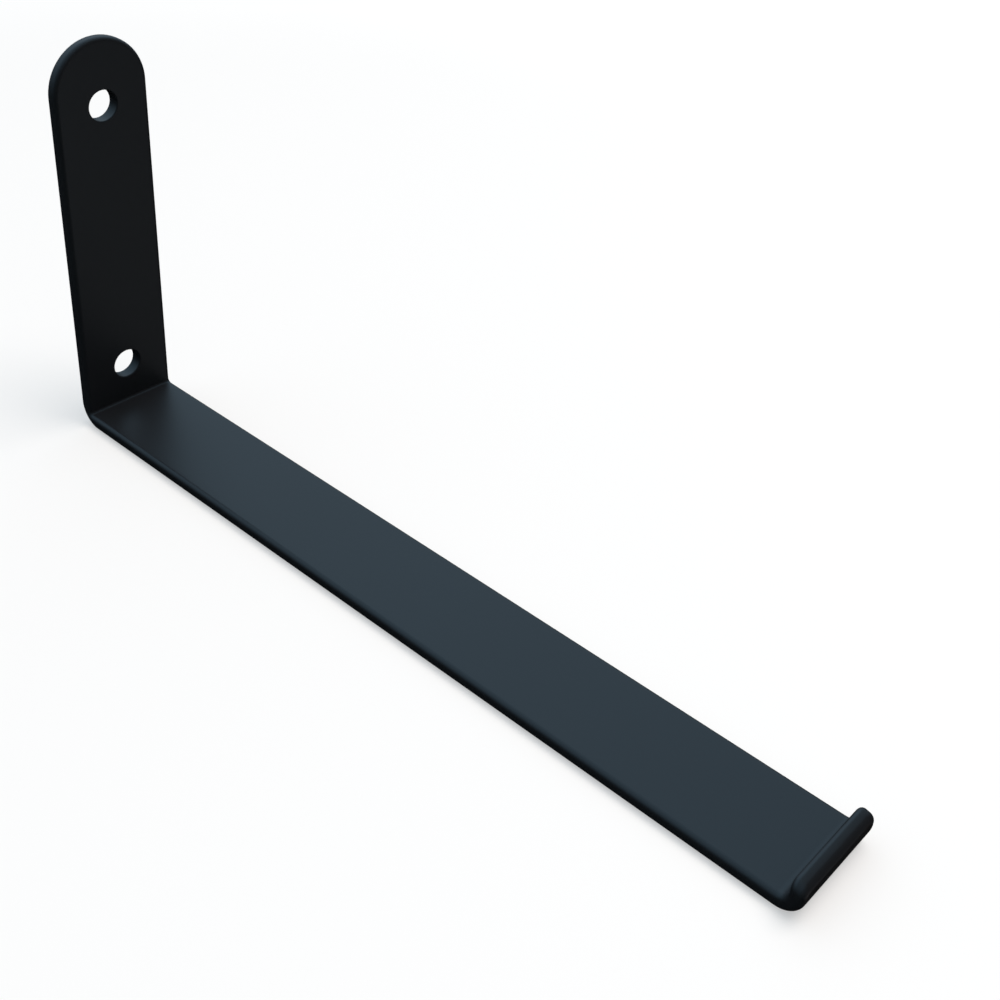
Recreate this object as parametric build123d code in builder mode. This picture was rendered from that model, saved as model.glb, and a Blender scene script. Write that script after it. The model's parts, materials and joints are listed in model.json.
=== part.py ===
"""Shelf bracket, bent cold from one length of rolled flat bar and powder coated.

The wall plate stands up the wall, the arm carries the board, and a low lip at the front
keeps the board from sliding off. Lengths are in millimetres. X points out from the wall,
Y across the bar and Z up. The origin lies on the wall, midway between the two screw holes.
"""

from build123d import *

import os

# The bar
bar_width = 30.0
bar_thickness = 4.0
bar_edge_radius = 1.8  # the rolled edge of the bar, coat included: nearly a half round

# The bends, with inside radii
seat_depth = 250.0  # clear depth from the wall plate to the lip
lip_rise = 6.5  # from the seat to the top of the lip
plate_bend_radius = 3.5
lip_bend_radius = 2.5
lip_corner_radius = 3.0

# The screw holes, on the middle line of the wall plate
hole_diameter = 9.0
hole_edge_radius = 0.4  # the coated rim of each hole
hole_pitch = 84.0
crown_to_hole = 19.5  # from the crown of the round end down to the upper hole
seat_to_hole = 12.5  # from the seat up to the lower hole

# What follows from them
crown_z = hole_pitch / 2 + crown_to_hole
seat_z = -hole_pitch / 2 - seat_to_hole
underside_z = seat_z - bar_thickness
lip_top_z = seat_z + lip_rise
front_x = bar_thickness + seat_depth + bar_thickness
half_width = bar_width / 2
edge_radius = min(bar_edge_radius, 0.45 * bar_thickness)  # a flat stays between the two rolls


def sharp_edges(part, least_angle=1.0):
    """The edges where two faces meet at an angle, leaving out the seams of smooth bends."""
    neighbours = {}
    for face in part.faces():
        for edge in face.edges():
            neighbours.setdefault(edge, []).append(face)
    return [
        edge
        for edge, (one, other) in neighbours.items()
        if one.normal_at(edge @ 0.5).get_angle(other.normal_at(edge @ 0.5)) > least_angle
    ]


with BuildPart() as bracket:
    # The side view: the outer line of the bent bar, thickened inwards.
    with BuildSketch(Plane.XZ) as side_view:
        with BuildLine() as outer_line:
            FilletPolyline(
                (0, crown_z),
                (0, underside_z),
                (front_x, underside_z),
                (front_x, lip_top_z),
                radius=[plate_bend_radius + bar_thickness, lip_bend_radius + bar_thickness],
            )
            offset(amount=bar_thickness, side=Side.LEFT)
        make_face()
    extrude(amount=half_width, both=True)

    # The wall plate ends in a half circle as wide as the bar.
    with BuildSketch(Plane.YZ) as crown_waste:
        with Locations((0, crown_z - half_width)):
            Rectangle(bar_width, half_width, align=(Align.CENTER, Align.MIN))
            Circle(half_width, mode=Mode.SUBTRACT)
    extrude(amount=bar_thickness, mode=Mode.SUBTRACT)

    # The lip has round corners.
    edges_outwards = bracket.edges().filter_by(Axis.X)
    lip_corners = edges_outwards.sort_by_distance((front_x, 0, lip_top_z))[:2]
    fillet(lip_corners, radius=lip_corner_radius)

    # The rolled edge runs all the way round both faces of the bar.
    fillet(sharp_edges(bracket.part), radius=edge_radius)

    # Two plain screw holes through the wall plate.
    with Locations(Plane.YZ.offset(bar_thickness)):
        with GridLocations(0, hole_pitch, 1, 2):
            Hole(hole_diameter / 2, depth=bar_thickness)
    hole_rims = bracket.edges(Select.LAST).filter_by(GeomType.CIRCLE)
    fillet(hole_rims, radius=hole_edge_radius)

bracket.part.label = "bracket"

os.makedirs("parts", exist_ok=True)
export_step(bracket.part, "parts/bracket.step")
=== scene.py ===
"""Looks for the shelf bracket: one bent bar under a satin black powder coat.

The skin of the bar is modelled the way the bracket is made. A flat blank with a round end and
two holes is bent twice, given its thickness, and its edges are rolled round. Lengths are in
metres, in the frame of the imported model: X out from the wall, Y across the bar, Z up.
"""

import json
import math

import bmesh
import bpy
from mathutils import Euler, Matrix, Vector


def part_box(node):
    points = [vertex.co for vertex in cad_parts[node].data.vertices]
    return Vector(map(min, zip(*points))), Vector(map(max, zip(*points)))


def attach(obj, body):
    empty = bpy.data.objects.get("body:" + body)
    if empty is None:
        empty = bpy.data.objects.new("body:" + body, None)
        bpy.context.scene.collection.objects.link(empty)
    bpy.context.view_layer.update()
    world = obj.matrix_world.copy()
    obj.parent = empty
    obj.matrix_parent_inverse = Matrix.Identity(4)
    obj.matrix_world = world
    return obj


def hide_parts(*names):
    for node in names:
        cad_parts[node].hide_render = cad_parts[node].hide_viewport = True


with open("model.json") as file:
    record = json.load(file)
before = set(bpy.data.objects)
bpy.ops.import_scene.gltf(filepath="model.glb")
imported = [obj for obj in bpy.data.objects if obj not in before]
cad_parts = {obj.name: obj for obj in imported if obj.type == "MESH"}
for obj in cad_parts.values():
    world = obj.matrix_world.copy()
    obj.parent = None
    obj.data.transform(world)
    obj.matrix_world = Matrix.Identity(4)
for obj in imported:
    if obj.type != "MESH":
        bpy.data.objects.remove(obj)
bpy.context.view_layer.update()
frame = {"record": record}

MM = 0.001
TINY = 1e-6

# ---------------------------------------------------------------- sizes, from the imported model

low_corner, high_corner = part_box("bracket")
mounts = {mount["name"]: mount for mount in frame["record"]["mounts"]}
hole_dims = mounts["wall_holes"]["dims"]

half_width = high_corner.y
underside_z = low_corner.z
crown_z = high_corner.z
front_x = high_corner.x
seat_z = mounts["shelf_seat"]["pos_m"][2]
bar_thickness = seat_z - underside_z
hole_pitch = hole_dims["spacing_y_mm"] * MM
hole_radius = hole_dims["hole_r_mm"] * MM
hole_heights = (hole_pitch / 2, -hole_pitch / 2)

# The bends and edges of the bar
lip_rise = 6.5 * MM
plate_bend_radius = 3.5 * MM
plate_fold_radius = 0.9 * MM  # the inside of the wall bend, pressed into its corner
lip_bend_radius = 2.5 * MM
lip_corner_radius = 3.0 * MM
lip_fall = 1.4 * MM  # how far the top of the lip falls away towards its outer edge
bar_edge_radius = 1.45 * MM
hole_edge_radius = 0.4 * MM

lip_top_z = seat_z + lip_rise
plate_bend_outside = plate_bend_radius + bar_thickness
lip_bend_outside = lip_bend_radius + bar_thickness

# How finely the skin is divided
columns = 8
bend_steps = 12
crown_steps = 36
flank_parts = 7
edge_segments = 6
rim_segments = 3
corner_segments = 8


# ---------------------------------------------------------------- the skin of the bar


def rim_line(bm, vert, reach, parts):
    """Draws a straight line on from a vertex, in equal parts, and returns its far end."""
    for _ in range(parts):
        grown = bmesh.ops.extrude_vert_indiv(bm, verts=[vert])["verts"]
        bmesh.ops.translate(bm, verts=grown, vec=Vector(reach) / parts)
        vert = grown[0]
    return vert


def fill_round_hole(bm, hole_z):
    """Fills a new closed rim of the wall plate, all but a round hole on the middle line."""
    bmesh.ops.remove_doubles(bm, verts=bm.verts, dist=TINY)
    parts = sum(edge.is_wire for edge in bm.edges)
    stand_up = Matrix.Translation((0, 0, hole_z)) @ Matrix.Rotation(math.pi / 2, 4, "Y")
    bmesh.ops.create_circle(bm, segments=parts, radius=hole_radius, matrix=stand_up)
    bmesh.ops.bridge_loops(bm, edges=[edge for edge in bm.edges if edge.is_wire])


def crown_patch(bm, hole_z, foot_z):
    """The top of the wall plate: a half circle as wide as the bar, round the upper hole."""
    centre_z = crown_z - half_width
    start = bm.verts.new((0, half_width, centre_z))
    arc = bmesh.ops.spin(
        bm,
        geom=[start],
        cent=(0, 0, centre_z),
        axis=(1, 0, 0),
        angle=math.pi,
        steps=crown_steps,
    )
    vert = arc["geom_last"][0]
    vert = rim_line(bm, vert, (0, 0, foot_z - centre_z), flank_parts)
    vert = rim_line(bm, vert, (0, 2 * half_width, 0), columns)
    rim_line(bm, vert, (0, 0, centre_z - foot_z), flank_parts)
    fill_round_hole(bm, hole_z)


def seat_patch(bm, hole_z, head_z, foot_z):
    """The foot of the wall plate: a rectangle round the lower hole, down to the bend."""
    side_parts = (crown_steps + 2 * flank_parts - columns) // 2
    vert = bm.verts.new((0, half_width, head_z))
    vert = rim_line(bm, vert, (0, -2 * half_width, 0), columns)
    vert = rim_line(bm, vert, (0, 0, foot_z - head_z), side_parts)
    vert = rim_line(bm, vert, (0, 2 * half_width, 0), columns)
    rim_line(bm, vert, (0, 0, head_z - foot_z), side_parts)
    fill_round_hole(bm, hole_z)


def rim_at(bm, height):
    """The free edges across the bar at this height of the wall plate."""
    return [
        edge
        for edge in bm.edges
        if edge.is_boundary and all(abs(v.co.z - height) < TINY for v in edge.verts)
    ]


def bend_up(bm, edges, centre_x, centre_z):
    """Carries an end of the sheet a quarter turn round a line across the bar."""
    turned = bmesh.ops.spin(
        bm,
        geom=edges,
        cent=(centre_x, 0, centre_z),
        axis=(0, 1, 0),
        angle=-math.pi / 2,
        steps=bend_steps,
    )
    return [item for item in turned["geom_last"] if isinstance(item, bmesh.types.BMEdge)]


def run_on(bm, edges, step):
    """Carries an end of the sheet straight on."""
    grown = bmesh.ops.extrude_edge_only(bm, edges=edges)["geom"]
    bmesh.ops.translate(
        bm, verts=[item for item in grown if isinstance(item, bmesh.types.BMVert)], vec=step
    )
    return [item for item in grown if isinstance(item, bmesh.types.BMEdge)]


def press_fold(bm, centre):
    """Presses the inside of the wall bend tighter into its corner, with its ends still smooth."""
    corner = Vector((bar_thickness, 0, seat_z)) + plate_fold_radius * Vector((1, 0, 1))
    for vert in bm.verts:
        reach = vert.co - centre
        reach.y = 0
        if max(reach.x, reach.z) < TINY and reach.length < plate_bend_outside - bar_thickness / 2:
            across = Vector((0, vert.co.y, 0))
            vert.co = corner + across + reach * (plate_fold_radius / plate_bend_radius)


def sharp_edges(bm):
    """The edges where two faces meet squarely."""
    return [e for e in bm.edges if e.is_manifold and e.calc_face_angle() > math.radians(60)]


def roll_edges(bm, edges, radius, segments):
    bmesh.ops.bevel(
        bm,
        geom=edges,
        offset=radius,
        offset_type="OFFSET",
        segments=segments,
        profile=0.5,
        affect="EDGES",
        clamp_overlap=False,
        material=-1,
    )


def round_off_lip(bm):
    """Lets the top of the lip fall away outwards, as the bent end of a rolled bar does."""
    inside_x = front_x - bar_thickness
    foot_z = underside_z + lip_bend_outside
    for vert in bm.verts:
        out = (vert.co.x - inside_x) / bar_thickness
        up = (vert.co.z - foot_z) / (lip_top_z - foot_z)
        if out > 0 and up > 0:
            vert.co.z -= lip_fall * out * out * up


def bracket_skin():
    """The whole bar, made as it is bent, as one closed mesh."""
    bm = bmesh.new()
    bend_start_z = underside_z + plate_bend_outside
    patch_reach = half_width
    upper_foot_z = hole_heights[0] - patch_reach
    lower_head_z = hole_heights[1] + patch_reach

    # The sheet, on the side that faces the wall and the floor
    crown_patch(bm, hole_heights[0], upper_foot_z)
    seat_patch(bm, hole_heights[1], lower_head_z, bend_start_z)
    bmesh.ops.bridge_loops(bm, edges=rim_at(bm, upper_foot_z) + rim_at(bm, lower_head_z))
    end = bend_up(bm, rim_at(bm, bend_start_z), plate_bend_outside, bend_start_z)
    arm_length = front_x - plate_bend_outside - lip_bend_outside
    end = run_on(bm, end, (arm_length, 0, 0))
    end = bend_up(bm, end, front_x - lip_bend_outside, underside_z + lip_bend_outside)
    run_on(bm, end, (0, 0, lip_top_z - underside_z - lip_bend_outside))
    bmesh.ops.remove_doubles(bm, verts=bm.verts, dist=TINY)
    bmesh.ops.recalc_face_normals(bm, faces=bm.faces)

    # Its thickness, inwards
    bmesh.ops.solidify(bm, geom=bm.faces[:], thickness=bar_thickness)
    press_fold(bm, Vector((plate_bend_outside, 0, bend_start_z)))

    # The round corners of the lip, then the rolled edge all the way round both faces
    lip_corners = [
        edge
        for edge in bm.edges
        if all(
            v.co.x > front_x - bar_thickness - TINY
            and v.co.z > lip_top_z - TINY
            and abs(v.co.y) > half_width - TINY
            for v in edge.verts
        )
    ]
    roll_edges(bm, lip_corners, lip_corner_radius, corner_segments)
    reach = hole_radius + TINY
    outline = [
        edge
        for edge in sharp_edges(bm)
        if not any(
            math.hypot(edge.verts[0].co.y, edge.verts[0].co.z - hole_z) < reach
            for hole_z in hole_heights
        )
    ]
    roll_edges(bm, outline, bar_edge_radius, edge_segments)
    roll_edges(bm, sharp_edges(bm), hole_edge_radius, rim_segments)
    round_off_lip(bm)

    bmesh.ops.recalc_face_normals(bm, faces=bm.faces)
    for face in bm.faces:
        face.smooth = True
    mesh = bpy.data.meshes.new("bracket_skin")
    bm.to_mesh(mesh)
    bm.free()
    return mesh


# ---------------------------------------------------------------- finishes


def powder_coat():
    """Satin black powder coat: a faint orange peel, and a soft blue-grey sheen."""
    material = bpy.data.materials.new("powder_coat")
    material.use_nodes = True
    nodes, links = material.node_tree.nodes, material.node_tree.links
    shader = nodes["Principled BSDF"]
    shader.inputs["Metallic"].default_value = 0.0
    shader.inputs["IOR"].default_value = 1.5
    shader.inputs["Specular IOR Level"].default_value = 0.5
    shader.inputs["Specular Tint"].default_value = (0.6, 0.85, 1.0, 1.0)

    place = nodes.new("ShaderNodeTexCoord")
    cloud = nodes.new("ShaderNodeTexNoise")
    cloud.inputs["Scale"].default_value = 40.0
    cloud.inputs["Detail"].default_value = 3.0
    links.new(place.outputs["Object"], cloud.inputs["Vector"])

    tint = nodes.new("ShaderNodeMix")
    tint.data_type = "RGBA"
    tint.inputs["A"].default_value = (0.0114, 0.0115, 0.0126, 1.0)
    tint.inputs["B"].default_value = (0.0124, 0.0125, 0.0136, 1.0)
    links.new(cloud.outputs["Fac"], tint.inputs["Factor"])
    links.new(tint.outputs["Result"], shader.inputs["Base Color"])

    gloss = nodes.new("ShaderNodeMapRange")
    gloss.inputs["To Min"].default_value = 0.39
    gloss.inputs["To Max"].default_value = 0.43
    links.new(cloud.outputs["Fac"], gloss.inputs["Value"])
    links.new(gloss.outputs["Result"], shader.inputs["Roughness"])

    peel = nodes.new("ShaderNodeTexNoise")
    peel.inputs["Scale"].default_value = 700.0
    peel.inputs["Detail"].default_value = 1.5
    links.new(place.outputs["Object"], peel.inputs["Vector"])
    bump = nodes.new("ShaderNodeBump")
    bump.inputs["Strength"].default_value = 0.5
    bump.inputs["Distance"].default_value = 0.00002
    links.new(peel.outputs["Fac"], bump.inputs["Height"])
    links.new(bump.outputs["Normal"], shader.inputs["Normal"])
    return material


def pale_floor():
    """A pale grey studio floor that keeps the shadow, lifted to white where the camera sees it."""
    material = bpy.data.materials.new("pale_floor")
    material.use_nodes = True
    nodes, links = material.node_tree.nodes, material.node_tree.links
    shader = nodes["Principled BSDF"]
    shader.inputs["Base Color"].default_value = (0.55, 0.51, 0.481, 1.0)
    shader.inputs["Roughness"].default_value = 0.9
    shader.inputs["Specular IOR Level"].default_value = 0.0
    shader.inputs["Emission Color"].default_value = (1.0, 1.0, 1.0, 1.0)

    place = nodes.new("ShaderNodeTexCoord")
    reach = nodes.new("ShaderNodeVectorMath")
    reach.operation = "LENGTH"
    links.new(place.outputs["Object"], reach.inputs[0])
    lift = nodes.new("ShaderNodeMapRange")
    lift.interpolation_type = "SMOOTHSTEP"
    lift.inputs["From Min"].default_value = 0.3
    lift.inputs["From Max"].default_value = 1.2
    lift.inputs["To Min"].default_value = 0.46
    lift.inputs["To Max"].default_value = 1.0
    links.new(reach.outputs["Value"], lift.inputs["Value"])
    path = nodes.new("ShaderNodeLightPath")
    seen = nodes.new("ShaderNodeMath")
    seen.operation = "MULTIPLY"
    links.new(path.outputs["Is Camera Ray"], seen.inputs[0])
    links.new(lift.outputs["Result"], seen.inputs[1])
    links.new(seen.outputs["Value"], shader.inputs["Emission Strength"])
    return material


# ---------------------------------------------------------------- the piece

bracket = bpy.data.objects.new("bracket_bar", bracket_skin())
bpy.context.scene.collection.objects.link(bracket)
bracket.data.materials.append(powder_coat())
bracket.modifiers.new("Weighted normals", "WEIGHTED_NORMAL")
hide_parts("bracket")
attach(bracket, "root")

# ---------------------------------------------------------------- floor, lights and camera

floor_reach = 3.0
floor_place = Matrix.Translation((0, 0, underside_z))
floor_bm = bmesh.new()
bmesh.ops.create_grid(
    floor_bm, x_segments=1, y_segments=1, size=floor_reach, matrix=floor_place
)
floor_mesh = bpy.data.meshes.new("floor")
floor_bm.to_mesh(floor_mesh)
floor_bm.free()
floor = bpy.data.objects.new("floor", floor_mesh)
bpy.context.scene.collection.objects.link(floor)
floor.data.materials.append(pale_floor())
floor.visible_glossy = False


def softbox(name, toward, distance, width, height, radiance, colour):
    """A soft lamp that looks at the middle of the bracket from a direction."""
    lamp = bpy.data.lights.new(name, "AREA")
    lamp.shape = "RECTANGLE"
    lamp.size = width
    lamp.size_y = height
    lamp.energy = radiance * math.pi * width * height
    lamp.color = colour
    holder = bpy.data.objects.new(name, lamp)
    bpy.context.scene.collection.objects.link(holder)
    middle = (low_corner + high_corner) / 2
    away = Vector(toward).normalized()
    holder.location = middle + away * distance
    holder.rotation_euler = away.to_track_quat("Z", "Y").to_euler()
    return holder


key = softbox(
    "key",
    toward=(0.22, 0.3, 0.93),
    distance=2.5,
    width=1.8,
    height=1.8,
    radiance=4.6,
    colour=(1.02, 1.0, 0.98),
)
key.visible_glossy = False

world = bpy.data.worlds.new("studio")
bpy.context.scene.world = world
world.use_nodes = True
nodes, links = world.node_tree.nodes, world.node_tree.links
place = nodes.new("ShaderNodeTexCoord")
axes = nodes.new("ShaderNodeSeparateXYZ")
links.new(place.outputs["Generated"], axes.inputs["Vector"])


def glow(toward, power):
    """A broad light in the sky that fades smoothly away from a direction."""
    aim = nodes.new("ShaderNodeVectorMath")
    aim.operation = "DOT_PRODUCT"
    aim.inputs[1].default_value = Vector(toward).normalized()
    links.new(place.outputs["Generated"], aim.inputs[0])
    share = nodes.new("ShaderNodeMapRange")
    share.inputs["From Min"].default_value = -1.0
    links.new(aim.outputs["Value"], share.inputs["Value"])
    return combine("POWER", share.outputs["Result"], power)


def ramp(axis, start, end, low):
    """Rises smoothly along an axis of the sky, from a low share to one."""
    rise = nodes.new("ShaderNodeMapRange")
    rise.interpolation_type = "SMOOTHSTEP"
    rise.inputs["From Min"].default_value = start
    rise.inputs["From Max"].default_value = end
    rise.inputs["To Min"].default_value = low
    links.new(axes.outputs[axis], rise.inputs["Value"])
    return rise.outputs["Result"]


def combine(operation, one, other):
    """Adds or multiplies two shares of light, raises one to a power, or scales it by a number."""
    both = nodes.new("ShaderNodeMath")
    both.operation = operation
    links.new(one, both.inputs[0])
    if isinstance(other, float):
        both.inputs[1].default_value = other
    else:
        links.new(other, both.inputs[1])
    return both.outputs["Value"]


def background(colour, strength):
    """Light of one colour, as strong as a share of the sky says."""
    light = nodes.new("ShaderNodeBackground")
    light.inputs["Color"].default_value = colour
    links.new(strength, light.inputs["Strength"])
    return light.outputs["Background"]


# A broad cool dome overhead, dark beyond the lip and below, a soft cool window in front and
# a dim warm fill for what the wall plate mirrors
dome = combine("MULTIPLY", ramp("X", 0.6, -0.48, low=0.0), ramp("Y", -1.3, 0.7, low=0.65))
dome = combine("MULTIPLY", dome, ramp("Z", -0.3, 0.75, low=0.0))
window = combine("MULTIPLY", glow((0.5, -0.35, 0.8), power=24.0), 0.35)
fill = combine("MULTIPLY", glow((0.84, 0.33, -0.43), power=60.0), 0.56)
lights = nodes.new("ShaderNodeAddShader")
cool = combine("ADD", dome, window)
links.new(background((0.79, 1.0, 1.17, 1.0), cool), lights.inputs[0])
links.new(background((0.96, 0.78, 0.74, 1.0), fill), lights.inputs[1])

# The camera sees a plain white backdrop
backdrop = nodes.new("ShaderNodeBackground")
backdrop.inputs["Color"].default_value = (1.0, 1.0, 1.0, 1.0)
path = nodes.new("ShaderNodeLightPath")
seen = nodes.new("ShaderNodeMixShader")
links.new(path.outputs["Is Camera Ray"], seen.inputs["Fac"])
links.new(lights.outputs["Shader"], seen.inputs[1])
links.new(backdrop.outputs["Background"], seen.inputs[2])
links.new(seen.outputs["Shader"], nodes["World Output"].inputs["Surface"])

# The camera stands beyond the lip, on the -Y side of the arm, and looks down on the bracket
camera_place = Vector((0.32951, -0.20674, 0.18992))
camera_azimuth = math.radians(40.295)
camera_elevation = math.radians(30.717)
camera_roll = math.radians(3.678)

lens = bpy.data.cameras.new("camera")
lens.sensor_width = 36.0
lens.lens = 50.679
lens.shift_y = -0.1495
lens.clip_start = 0.01
camera = bpy.data.objects.new("camera", lens)
bpy.context.scene.collection.objects.link(camera)
aim = Euler((math.pi / 2 - camera_elevation, 0, camera_azimuth)).to_matrix().to_4x4()
roll = Matrix.Rotation(camera_roll, 4, "Z")
camera.matrix_world = Matrix.Translation(camera_place) @ aim @ roll
bpy.context.scene.camera = camera
bpy.context.scene.view_settings.view_transform = "Standard"
